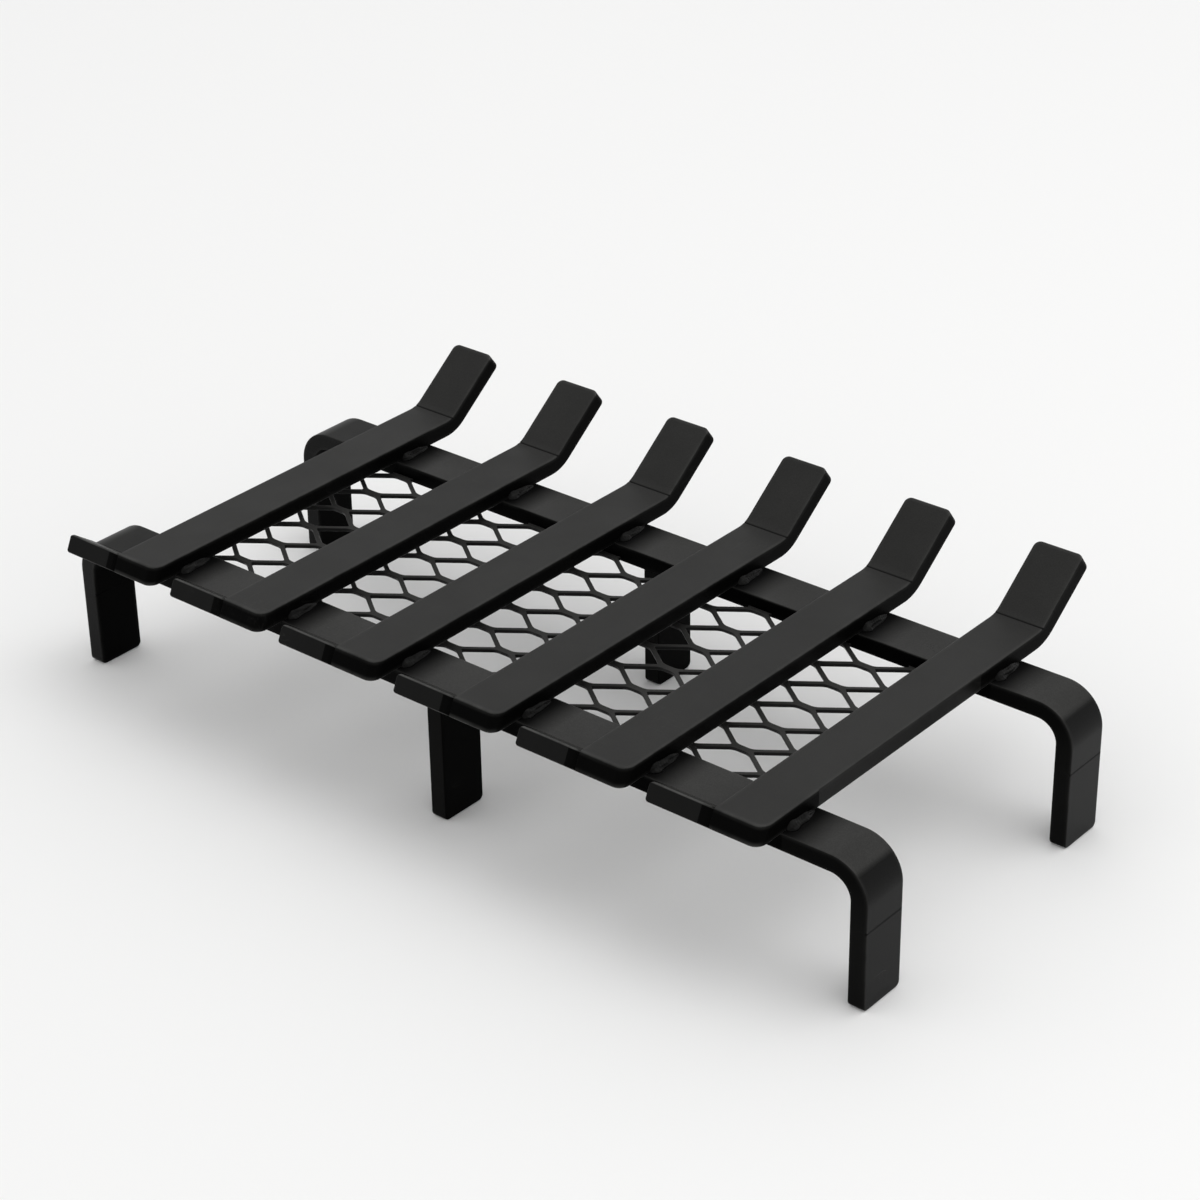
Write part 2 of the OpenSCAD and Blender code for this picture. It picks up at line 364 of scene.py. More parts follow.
def new_group(name, values, outputs):
    """An empty shader group with a Vector input, named input values and named outputs."""
    group = bpy.data.node_groups.new(name, "ShaderNodeTree")
    group.interface.new_socket("Vector", in_out="INPUT", socket_type="NodeSocketVector")
    for label, value in values.items():
        socket = group.interface.new_socket(label, in_out="INPUT", socket_type="NodeSocketFloat")
        socket.default_value = value
    for label in outputs:
        group.interface.new_socket(label, in_out="OUTPUT", socket_type="NodeSocketFloat")
    return group, group.nodes.new("NodeGroupInput"), group.nodes.new("NodeGroupOutput")


class Wiring:
    """Short ways to place and link the nodes of one tree."""

    def __init__(self, tree):
        self.tree = tree

    def node(self, kind, **values):
        made = self.tree.nodes.new(kind)
        for key, value in values.items():
            setattr(made, key, value)
        return made

    def link(self, source, target):
        self.tree.links.new(source, target)

    def fill(self, socket, value):
        if isinstance(value, bpy.types.NodeSocket):
            self.link(value, socket)
        else:
            socket.default_value = value

    def math(self, operation, a, b=0.0, clamp=False):
        made = self.node("ShaderNodeMath", operation=operation, use_clamp=clamp)
        self.fill(made.inputs[0], a)
        self.fill(made.inputs[1], b)
        return made.outputs[0]

    def times(self, a, b, clamp=False):
        return self.math("MULTIPLY", a, b, clamp)

    def noise(self, vector, scale, detail=2.0, rough=0.5, stretch=None):
        if stretch is not None:
            mapping = self.node("ShaderNodeMapping")
            self.link(vector, mapping.inputs["Vector"])
            mapping.inputs["Scale"].default_value = stretch
            vector = mapping.outputs["Vector"]
        made = self.node("ShaderNodeTexNoise")
        self.link(vector, made.inputs["Vector"])
        self.fill(made.inputs["Scale"], scale)
        made.inputs["Detail"].default_value = detail
        made.inputs["Roughness"].default_value = rough
        return made.outputs["Fac"]

    def remap(self, value, low, high, out_low=0.0, out_high=1.0):
        made = self.node("ShaderNodeMapRange", interpolation_type="SMOOTHSTEP")
        self.fill(made.inputs["Value"], value)
        keys = ("From Min", "From Max", "To Min", "To Max")
        for key, number in zip(keys, (low, high, out_low, out_high)):
            self.fill(made.inputs[key], number)
        return made.outputs["Result"]

    def mix(self, amount, a, b):
        colour_a, colour_b, result = 6, 7, 2  # where a Mix node keeps its colour sockets
        made = self.node("ShaderNodeMix", data_type="RGBA")
        self.fill(made.inputs["Factor"], amount)
        self.fill(made.inputs[colour_a], a)
        self.fill(made.inputs[colour_b], b)
        return made.outputs[result]


@built_once
def powder_grain(name):
    """Fine orange peel of a sprayed powder coat, and broad soft changes of its tone."""
    group, given, out = new_group(name, {"Peel Size": 0.0009, "Tone Size": 0.05}, ["Peel", "Speck", "Tone"])
    w = Wiring(group)
    peel_scale = w.math("DIVIDE", 1.0, given.outputs["Peel Size"])
    tone_scale = w.math("DIVIDE", 1.0, given.outputs["Tone Size"])
    peel = w.noise(given.outputs["Vector"], peel_scale, 2.0, 0.45)
    speck = w.noise(given.outputs["Vector"], w.times(peel_scale, 3.7), 1.0, 0.5)
    tone = w.noise(given.outputs["Vector"], tone_scale, 4.0, 0.6)
    w.link(peel, out.inputs["Peel"])
    w.link(w.remap(speck, 0.62, 0.78), out.inputs["Speck"])
    w.link(w.remap(tone, 0.3, 0.7), out.inputs["Tone"])
    return group


@built_once
def edge_rub(name):
    """Polish along the rolled edges, broken up where hands and tools have missed it. It also stands in for
    highlights: painted glint on the edges.
    """
    group, given, out = new_group(name, {"Edge": 0.0, "Amount": 0.5, "Break Up": 0.6}, ["Rub"])
    w = Wiring(group)
    patches = w.remap(w.noise(given.outputs["Vector"], 34.0, 5.0, 0.65), 0.36, 0.62)
    steady = w.math("SUBTRACT", 1.0, given.outputs["Break Up"])
    broken = w.math("ADD", w.times(patches, given.outputs["Break Up"]), steady)
    worn_glint = w.times(given.outputs["Edge"], broken)
    w.link(w.times(worn_glint, given.outputs["Amount"], clamp=True), out.inputs["Rub"])
    return group


@built_once
def fine_ash(name):
    """An even film of fine ash on what faces up, thinner in some places. It also serves as painted top
    light, lightening faces that look up as light from above would.
    """
    group, given, out = new_group(name, {"Facing Up": 0.0, "Amount": 0.1}, ["Ash"])
    w = Wiring(group)
    drift = w.remap(w.noise(given.outputs["Vector"], 17.0, 5.0, 0.6), 0.3, 0.7, 0.78, 1.0)
    motes = w.remap(w.noise(given.outputs["Vector"], 1300.0, 2.0, 0.6), 0.3, 0.7, 0.82, 1.18)
    # painted top light: the film fades out on faces tilted away from the light above
    up = w.remap(given.outputs["Facing Up"], 0.66, 0.80)
    ash = w.times(w.times(drift, up), motes)
    w.link(w.times(ash, given.outputs["Amount"], clamp=True), out.inputs["Ash"])
    return group


@built_once
def handling_scuffs(name):
    """Faint hairline scratches in a few places."""
    group, given, out = new_group(name, {"Amount": 0.3}, ["Scuff"])
    w = Wiring(group)
    lines = []
    for stretch in ((9.0, 260.0, 22.0), (240.0, 12.0, 30.0)):
        field = w.noise(given.outputs["Vector"], 1.6, 2.0, 0.4, stretch)
        near = w.math("ABSOLUTE", w.math("SUBTRACT", field, 0.5))
        lines.append(w.remap(near, 0.0, 0.010, 1.0, 0.0))
    both = w.math("MAXIMUM", lines[0], lines[1])
    places = w.remap(w.noise(given.outputs["Vector"], 11.0, 3.0, 0.6), 0.56, 0.7)
    scuff = w.times(w.times(both, places), given.outputs["Amount"], clamp=True)
    w.link(scuff, out.inputs["Scuff"])
    return group


def black_coat(name, kind, rough, rub=0.6, ash=0.15, scuff=0.12, peel=0.0009, gloss=0.095):
    """Satin black powder coat on steel, in the tint of one kind of piece, with its own wear and ash, the
    painted glints on its worn edges, the painted light on faces that look up, and the painted shade where
    its layer is below zero.
    """
    if name in bpy.data.materials:
        return bpy.data.materials[name]
    finish = bpy.context.scene.grate_finish
    tint = tuple(getattr(finish, kind))
    material = bpy.data.materials.new(name)
    material.use_nodes = True
    material.diffuse_color = (*tint, 1.0)
    tree = material.node_tree
    tree.nodes.clear()
    w = Wiring(tree)
    out = w.node("ShaderNodeOutputMaterial")
    shader = w.node("ShaderNodeBsdfPrincipled")
    w.link(shader.outputs["BSDF"], out.inputs["Surface"])
    shader.inputs["Specular IOR Level"].default_value = gloss
    shader.inputs["Metallic"].default_value = 0.0
    place = w.node("ShaderNodeTexCoord").outputs["Object"]
    # the rub layer: edge wear and painted glints above zero, painted shade and dark seam lines below zero
    edge = w.node("ShaderNodeAttribute", attribute_name="rub").outputs["Fac"]
    facing = w.node("ShaderNodeSeparateXYZ")
    w.link(w.node("ShaderNodeNewGeometry").outputs["Normal"], facing.inputs[0])

    grain = w.node("ShaderNodeGroup", node_tree=powder_grain())
    grain.inputs["Peel Size"].default_value = peel
    worn_glint = w.node("ShaderNodeGroup", node_tree=edge_rub())
    worn_glint.inputs["Amount"].default_value = rub
    ash_light_node = w.node("ShaderNodeGroup", node_tree=fine_ash())
    ash_light_node.inputs["Amount"].default_value = ash
    marks = w.node("ShaderNodeGroup", node_tree=handling_scuffs())
    marks.inputs["Amount"].default_value = scuff
    for made in (grain, worn_glint, ash_light_node, marks):
        w.link(place, made.inputs["Vector"])
    w.link(edge, worn_glint.inputs["Edge"])
    # painted shade and dark seam lines: the layer's part below zero
    painted_shade_and_seam = w.times(edge, -1.0, clamp=True)
    w.link(facing.outputs["Z"], ash_light_node.inputs["Facing Up"])

    def shade(part):
        return (*(part * c for c in tint), 1.0)

    coat = w.mix(grain.outputs["Tone"], shade(0.86), shade(1.12))
    coat = w.mix(w.times(grain.outputs["Speck"], 0.03), coat, (*finish.rubbed, 1.0))
    # painted glint: worn edges are lightened, partly real wear and partly highlights painted on
    coat = w.mix(worn_glint.outputs["Rub"], coat, (*finish.rubbed, 1.0))
    coat = w.mix(marks.outputs["Scuff"], coat, (*finish.rubbed, 1.0))
    # ash and painted top light: a pale film lightens faces that look up
    coat = w.mix(ash_light_node.outputs["Ash"], coat, (*finish.dust, 1.0))
    # painted shade: the crease, the bands beside the bars and the rails' darkened sides, with the dark seam
    # lines
    coat = w.mix(painted_shade_and_seam, coat, shade(0.4))
    w.link(coat, shader.inputs["Base Color"])

    uneven = w.math("ADD", w.times(w.math("SUBTRACT", grain.outputs["Tone"], 0.5), 0.07), rough)
    uneven = w.math("ADD", uneven, w.times(ash_light_node.outputs["Ash"], 0.3))
    uneven = w.math("ADD", uneven, w.times(painted_shade_and_seam, 0.22))
    uneven = w.math("SUBTRACT", uneven, w.times(worn_glint.outputs["Rub"], 0.08), clamp=True)
    w.link(uneven, shader.inputs["Roughness"])

    height = w.math("ADD", grain.outputs["Peel"], w.times(grain.outputs["Speck"], 0.15))
    height = w.math("SUBTRACT", height, w.times(marks.outputs["Scuff"], 0.5))
    relief = w.node("ShaderNodeBump")
    relief.inputs["Strength"].default_value = 0.6
    relief.inputs["Distance"].default_value = PEEL_DEPTH
    w.link(height, relief.inputs["Height"])
    w.link(relief.outputs["Normal"], shader.inputs["Normal"])
    return material


def matt_coat():
    """Painted shade: a darker, duller copy of the coat for the sawn ends, narrow sides and faces that lie
    in shade.
    """
    return black_coat("matt_black_powder", "matt", 0.44, ash=0.05, scuff=0.06, gloss=0.014)


def side_coat():
    """Painted shade: a half-shaded copy of the coat, between the shaded copy and the satin one, for the
    narrow front sides of the right feet, the middle legs and the rails' right ends.
    """
    return black_coat("side_black_powder", "side", 0.40, rub=0.3, ash=0.05, scuff=0.06, gloss=0.018)


def coat_faces(bm, coat_at):
    """Gives each face the piece's first, second or third coat, by what coat_at(centre, normal) says."""
    bmesh.ops.recalc_face_normals(bm, faces=bm.faces)
    for face in bm.faces:
        face.material_index = int(coat_at(face.calc_center_median(), face.normal))


# ------------------------------------------------------------------ pieces


class GRATE_OT_bars(bpy.types.Operator):
    """Builds the six bars: flat runs with slanted front ends, a pressed bend and upturned tips"""

    bl_idname = "grate.bars"
    bl_label = "Grate Bars"

    def execute(self, context):
        sizes = context.scene.grate_sizes
        coat = black_coat("bar_black_powder", "bar", 0.43, rub=0.75, ash=0.175, gloss=0.09)
        # painted light: a lit copy of the coat for the last bar's right side, whose neighbours' sides take
        # the shaded copy
        lit_side_coat = black_coat("outer_side_black_powder", "bar", 0.40, rub=0.5, gloss=0.050)
        turn, r, edge = sizes.tip_angle, sizes.bend_r, sizes.edge
        square_corner = 0.0001  # radius of a bar's left-hand front corner
        wear_glint_end = 0.004  # length of the stretch at each end with more edge wear and painted glint than the rest
        past_corner, past_slant, fade = 0.009, 0.045, 0.030  # where the front corner and the slant end
        near_bend, near_tip = 0.004, 0.008  # loops that keep the bend and the tip's corners crisp
        front_top, front_foot, tip_end, along_sides = 0.35, 0.8, 0.5, 0.22  # shares of the full edge wear and painted glint
        shade = 0.012  # how far the painted shade on the last bar's right side reaches ahead of the rear rail
        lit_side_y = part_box(RAILS[0])[1].y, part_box(RAILS[1])[0].y - shade
        for name in BARS:
            low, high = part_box(name)
            tip_len = (high.z - BED_H) / math.sin(turn)
            bend_y = high.y - tip_len * math.cos(turn) - STOCK_T * math.sin(turn)
            front_y = low.y + sizes.end_slant
            cut = r * math.tan(turn / 2)
            flat = bend_y - front_y - cut
            arc = r * turn
            total = flat + arc + tip_len - cut
            middle = flat + arc / 2

            def place(across, along, depth):
                off = 2 * abs(along - middle) / sizes.crease_w
                if off < 1 and depth < edge:
                    depth += sizes.crease * (1 - off)
                if along <= flat:
                    hold = min(1.0, max(0.0, (past_slant - along) / fade))
                    y = front_y + along - sizes.end_slant * depth / STOCK_T * hold
                    return Vector((across, y, BED_H - depth))
                a = min((along - flat) / r, turn)
                y = front_y + flat + (r + depth) * math.sin(a)
                z = BED_H + r - (r + depth) * math.cos(a)
                past = max(0.0, along - flat - arc)
                return Vector((across, y + past * math.cos(turn), z + past * math.sin(turn)))

            def mark(along, depth, rub):
                # painted shade: the pressed crease is darkened; the ends carry more edge wear and painted
                # glint, most along the front bottom edge
                if abs(along - middle) < 0.3 * sizes.crease_w and depth < edge:
                    return -1.0
                if along < wear_glint_end:
                    return rub * (front_top if depth < STOCK_T / 2 else front_foot)
                return rub * (tip_end if along > total - wear_glint_end else along_sides)

            before, after = flat - near_bend, flat + arc + near_bend
            stations = spread(past_corner, past_slant, 3) + [past_slant]
            stations += spread(past_slant, before, 9) + [before, flat, flat + arc, after]
            stations += [s for s in spread(flat, flat + arc, 12) if abs(s - middle) > 1.1 * sizes.crease_w]
            stations += [middle + sizes.crease_w * k for k in (-0.9, -0.5, -0.15, 0.15, 0.5, 0.9)]
            stations += [y - front_y for y in lit_side_y] + spread(after, total - near_tip, 2)
            stations.sort()
            corners = (square_corner, sizes.front_corner, sizes.tip_corner, sizes.tip_corner)

            def sides_at(inset):
                return plate_sides(low.x, high.x, 0.0, total, corners, (1.0, 1.0), stations, inset)

            bm = plate(sides_at, edge_levels(STOCK_T, edge), place, mark)
            last = name == BARS[-1]

            # painted shade: the sides and the front end take the shaded copy of the coat, except the last
            # bar's right side between the rails, which takes the lit copy
            def coat_at(at, n):
                if last and n.x > MOSTLY and lit_side_y[0] < at.y < lit_side_y[1]:
                    return 2
                return abs(n.z) < MOSTLY and (n.y < -MOSTLY or abs(n.x) > MOSTLY)

            coat_faces(bm, coat_at)
            dressed = name.replace("grate_", "dressed_")
            add_piece(dressed, bm, [name], "bar_coat", coat, matt_coat(), lit_side_coat)
        return {"FINISHED"}


class GRATE_OT_stops(bpy.types.Operator):
    """Builds the six front stops of thin angle, apex up, with rounded free ends"""

    bl_idname = "grate.stops"
    bl_label = "Front Stops"

    def execute(self, context):
        sizes = context.scene.grate_sizes
        coat = black_coat("stop_black_powder", "stop", 0.40, rub=0.5, gloss=0.056)
        wall, slant = sizes.stop_wall, sizes.end_slant
        corner, edge = sizes.stop_corner, 0.0006
        end_steps = (0.0010, 0.0015, 0.0021, 0.0028, 0.0036, 0.0046, 0.008)  # across the free end's corners
        end_edge = [(0.0, 1.0), (0.29, 0.6), (0.62, 0.22), (1.0, 0.0)]  # depth and inset, as shares of edge
        radii = [0.0011, 0.0007, 0.0007, 0.0010, 0.00015, 0.00015]  # of the outline's corners, apex first
        steps = 5  # along each of those corners
        for name in STOPS:
            low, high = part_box(name)
            front, back, top = low.y, high.y, high.z
            run = back - front - slant
            rear_angle = math.atan(STOCK_T / run)
            lean = math.atan(slant / STOCK_T)
            cut, foot = wall / math.cos(rear_angle), wall / math.cos(lean)
            t = (cut + foot * math.tan(rear_angle)) / (STOCK_T + slant * math.tan(rear_angle))
            points = [
                (front + slant, top),
                (front, RAIL_TOP),
                (front + foot, RAIL_TOP),
                (front + slant + foot - slant * t, top - STOCK_T * t),
                (back, RAIL_TOP - cut),
                (back, RAIL_TOP),
            ]
            outline = [Vector(p) for p in round_outline(points, radii, steps)]
            inward = []
            for before, after in zip(outline[-1:] + outline, outline[1:] + outline[:1]):
                along = (after - before).normalized()
                inward.append(Vector((-along.y, along.x)))
            down = Vector((-slant, -STOCK_T)).normalized()
            apex = Vector((front + slant, top))
            long_side = math.hypot(slant, STOCK_T)

            bm = bmesh.new()
            layer = rub_layer(bm)
            shade_patch_x = high.x - sizes.stop_tack
            body = [low.x + step for step in end_steps]
            body += spread(body[-1], shade_patch_x, 3) + [shade_patch_x, (shade_patch_x + high.x) / 2, high.x]
            stations = [(low.x + edge * depth, edge * inset, 1.0) for depth, inset in end_edge]
            stations += [(x, 0.0, 0.0) for x in body]
            rings = []
            for x, inset, rub in stations:
                reach = max(0.0, corner - (x - low.x))
                trim = corner - math.sqrt(max(0.0, corner**2 - reach**2))
                ring = []
                for k, point in enumerate(outline):
                    here = point + inward[k] * inset
                    t_here = (here - apex).dot(down)
                    off = (here - apex) - down * t_here
                    limit = long_side - trim
                    if t_here < trim:
                        t_here = trim
                    elif t_here > limit and off.length < 2 * wall:
                        t_here = limit
                    here = apex + down * t_here + off
                    v = bm.verts.new((x, here.x, here.y))
                    # painted glint along the apex and the bottom front edge, on top of the faint wear at
                    # the free end
                    corner_at, step = divmod(k, steps + 1)
                    worn_glint = (1.0, 0.7)[corner_at] if corner_at < 2 and 0 < step < steps else 0.0
                    v[layer] = max(FAINT * rub, worn_glint)
                    ring.append(v)
                rings.append(ring)
            join_rings(bm, rings)
            bm.faces.new(rings[0])
            bm.faces.new(rings[-1])
            # painted shade: the front faces near the bar take the shaded copy of the coat
            coat_faces(bm, lambda at, n: at.x > shade_patch_x and n.y < -PARTLY)
            dressed = name.replace("front_", "dressed_")
            add_piece(dressed, bm, [name], "stop_coat", coat, matt_coat())
        return {"FINISHED"}


class GRATE_OT_rails(bpy.types.Operator):
    """Builds the two cross rails, bent down at both ends into the upper legs"""

    bl_idname = "grate.rails"
    bl_label = "Cross Rails"

    def execute(self, context):
        sizes = context.scene.grate_sizes
        coat = black_coat("rail_black_powder", "rail", 0.24, ash=0.31, gloss=0.066)
        beside_bar = 0.0005  # loops that keep the painted shade band crisp along a bar's left side
        on_face = 0.0001  # how deep a point may lie and still be on the broad face
        full, left_share = 1.3, 0.6  # how full a painted shade band starts, beside a bar and left of them all
        radius = sizes.leg_bend
        rise = RAIL_TOP - radius - SEAM_H
        arc = radius * math.pi / 2
        flat = 2 * (HALF_W - radius)
        total = 2 * rise + 2 * arc + flat

        def place_from_left(along, depth):
            if along <= rise:
                return -HALF_W + depth, SEAM_H + along
            if along <= rise + arc:
                a = (along - rise) / radius
                reach = radius - depth
                return -HALF_W + radius - reach * math.cos(a), RAIL_TOP - radius + reach * math.sin(a)
            return -HALF_W + radius + along - rise - arc, RAIL_TOP - depth

        def place(across, along, depth):
            if along <= total / 2:
                x, z = place_from_left(along, depth)
            else:
                x, z = place_from_left(total - along, depth)
                x = -x
            return Vector((x, across, z))

        shift = HALF_W - radius + rise + arc
        spans = [(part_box(bar)[0].x + shift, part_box(bar)[1].x + shift) for bar in BARS]

        def sheltered(along):
            """Painted shade on the rail's top: how near a place lies to a bar's right side, 1 beside it, 0
            or less clear of it. The short stretch left of the first bar is darkened partly too, down over
            the bend."""
            if along < spans[0][0] + beside_bar / 2:
                return left_share * min(1.0, max(0.0, (along - rise) / arc))
            if along > total - rise - arc:
                return 0.0
            bands = [full * (1 - (along - end) / sizes.shelter) for start, end in spans if along > start]
            return min(1.0, max(bands))

        def mark(along, depth, rub):
            to_seam = min(along, total - along)
            if to_seam < sizes.seam / 2 and depth < sizes.edge:
                return -1.0
            # painted shade: the narrow sides of the right half darken away from the seam
            if along > total / 2 and sizes.edge < depth < STOCK_T - sizes.edge:
                return -min(1.0, to_seam / (rise + arc / 2))
            if to_seam < sizes.seam and depth > STOCK_T / 2:
                return 0.0
            # faint edge wear and painted glint, less the painted shade beside the bars on the top face
            return FAINT * rub - (max(0.0, sheltered(along)) if depth < on_face else 0.0)

        bend = spread(rise, rise + arc, 17)
        half = [sizes.seam] + spread(sizes.seam, rise, 2) + [rise] + bend + [rise + arc]
        stations = half + [total / 2] + [total - s for s in reversed(half)]
        for start, end in spans:
            stations += [end + sizes.shelter * k / 4 for k in range(5)]
            stations += [start - beside_bar, start + beside_bar]
        stations.sort()
        for name in RAILS:
            low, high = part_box(name)

            def sides_at(inset):
                corners, ends = (SAWN_CORNER,) * 4, (BUTT_SHARE,) * 2
                return plate_sides(low.y, high.y, 0.0, total, corners, ends, stations, inset, 3)

            bm = plate(sides_at, edge_levels(STOCK_T, sizes.edge), place, mark)

            # painted shade: the front face takes the satin coat at the left end, the shaded copy between
            # the bars and the half-shaded copy at the right end; back, inner and under faces take the
            # shaded copy
            def coat_at(at, n):
                if n.y < -CLEARLY:
                    return 0 if at.x < BAR_LOW.x else 2 if at.x > -BAR_LOW.x else 1
                return n.y > CLEARLY or at.x * n.x < -PARTLY * abs(at.x) or n.z < -MOSTLY

            coat_faces(bm, coat_at)
            add_piece("dressed_" + name, bm, [name], "rail_coat", coat, matt_coat(), side_coat())
        return {"FINISHED"}


class GRATE_OT_legs(bpy.types.Operator):
    """Builds the four feet under the end legs and the two middle legs"""

    bl_idname = "grate.legs"
    bl_label = "Feet and Middle Legs"

    def execute(self, context):
        sizes = context.scene.grate_sizes
        coat = black_coat("leg_black_powder", "leg", 0.24, scuff=0.22, gloss=0.064)
        corners = (sizes.foot_corner, sizes.foot_corner, SAWN_CORNER, SAWN_CORNER)
        past_corner = 0.006  # where a foot's bottom corners end
        for name in FEET + MIDDLE_LEGS:
            low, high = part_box(name)
            outward = -1 if high.x < 0 and name in FEET else 1
            face = low.x if outward < 0 else high.x
            stations = spread(past_corner, high.z - sizes.seam, 8) + [high.z - sizes.seam]

            def place(across, along, depth):
                return Vector((face - outward * depth, across, along))

            def sides_at(inset):
                ends = (1.0, BUTT_SHARE)
                return plate_sides(low.y, high.y, 0.0, high.z, corners, ends, stations, inset)

            middle = name in MIDDLE_LEGS

            # dark seam lines at the top; faint edge wear with painted glint on the feet only
            def mark(along, depth, rub):
                if along > high.z - sizes.seam / 2 and depth < sizes.edge:
                    return -1.0
                if middle or (along > high.z - sizes.seam and depth > STOCK_T / 2):
                    return 0.0
                return FAINT * rub

            # painted shade: the left feet's front faces keep the satin coat and the others' the half-shaded
            # copy; back and inner faces and the middle legs take the shaded copy
            def coat_at(at, n):
                if n.y < -CLEARLY:
                    return 0 if outward < 0 else 2
                return middle or n.y > CLEARLY or n.x * outward < -PARTLY

            bm = plate(sides_at, edge_levels(STOCK_T, sizes.edge), place, mark)
            coat_faces(bm, coat_at)
            add_piece("dressed_" + name, bm, [name], "leg_coat", coat, matt_coat(), side_coat())
        return {"FINISHED"}


class GRATE_OT_mesh(bpy.types.Operator):
    """Builds the expanded ember mesh with rounded strands, cut off along the two rails"""

    bl_idname = "grate.ember_mesh"
    bl_label = "Ember Mesh"

    def execute(self, context):
        s = context.scene.mesh_sizes
        coat = black_coat("mesh_black_powder", "mesh", 0.38, rub=0.1, ash=0.30, scuff=0.0, gloss=0.060)
        notch = 0.0011  # radius of the sharp corners that the slits start from
        low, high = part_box("ember_mesh")
        low.z = high.z - s.sheet
        step_x, step_y = s.long_pitch / 2, s.short_pitch / 2
        slope = math.atan(step_y / (step_x - s.joint_len))
        end = step_x - s.joint_len / 2 - s.strand / 2 / math.sin(slope)
        half = step_y - s.joint_w / 2
        joint_x, joint_y = s.joint_x, (low.y + high.y) / 2 + s.joint_y

        def opening(grow):
            tall = half + grow
            wide = end + grow / math.sin(slope)
            corner = wide - tall / math.tan(slope)
            points = [(-wide, 0), (-corner, tall), (corner, tall)]
            points += [(-x, -y) for x, y in points]
            soft, tight = s.flow + grow, notch + grow
            return round_outline(points, [tight, soft, soft] * 2, 6)

        edge, thick = s.rounding, high.z - low.z
        levels = [(edge, high.z, 0.2)]  # how much the opening grows, at what height, and the edge wear with painted glint
        for k in range(1, 3):
            a = math.pi / 2 * k / 3
            levels.append((edge - edge * math.sin(a), high.z - edge + edge * math.cos(a), 1.0))
        levels += [(0.0, high.z - edge, 0.3)]
        levels += [(g, low.z + high.z - z, r) for g, z, r in reversed(levels)]
        shapes = [opening(g) for g, _, _ in levels]

        bm = bmesh.new()
        layer = rub_layer(bm)
        caps = {0: [], len(levels) - 1: []}
        columns, rows = 10, 9  # more than the panel needs to each side, as its edges are cut afterwards
        for i in range(-columns, columns + 1):
            for j in range(-rows, rows + 1):
                if (i + j) % 2 == 0:
                    continue
                cx, cy = joint_x + i * step_x, joint_y + j * step_y
                rings = []
                for shape, (_, z, rub) in zip(shapes, levels):
                    shift = s.lean * ((z - low.z) / thick - 0.5)
                    ring = []
                    for x, y in shape:
                        v = bm.verts.new((cx + x, cy + y + shift, z))
                        v[layer] = rub
                        ring.append(v)
                    rings.append(ring)
                join_rings(bm, rings)
                for level in caps:
                    ring = rings[level]
                    caps[level] += [bm.edges.get(pair) for pair in zip(ring, ring[1:] + ring[:1])]
        wide, deep = (columns + 2) * step_x, (rows + 2) * step_y
        for level, edges in caps.items():
            z = levels[level][1]
            rim = [
                bm.verts.new((joint_x + x * wide, joint_y + y * deep, z))
                for x, y in ((-1, -1), (1, -1), (1, 1), (-1, 1))
            ]
            border = [bm.edges.new(pair) for pair in zip(rim, rim[1:] + rim[:1])]
            bmesh.ops.triangle_fill(bm, use_beauty=True, use_dissolve=False, edges=edges + border)
        for at, facing in ((low, (-1, 0, 0)), (high, (1, 0, 0)), (low, (0, -1, 0)), (high, (0, 1, 0))):
            bmesh.ops.bisect_plane(
                bm, geom=bm.verts[:] + bm.edges[:] + bm.faces[:], dist=1e-7,
                plane_co=at, plane_no=facing, clear_outer=True,
            )
            bmesh.ops.remove_doubles(bm, verts=bm.verts, dist=1e-6)
            open_edges = [e for e in bm.edges if e.is_boundary and all(
                abs((v.co - at).dot(facing)) < 1e-6 for v in e.verts)]
            made = bmesh.ops.holes_fill(bm, edges=open_edges, sides=0)
            for face in made["faces"]:
                for e in face.edges:
                    e.smooth = False
        keep_largest(bm)
        add_piece("dressed_ember_mesh", bm, ["ember_mesh"], "mesh_coat", coat)
        return {"FINISHED"}


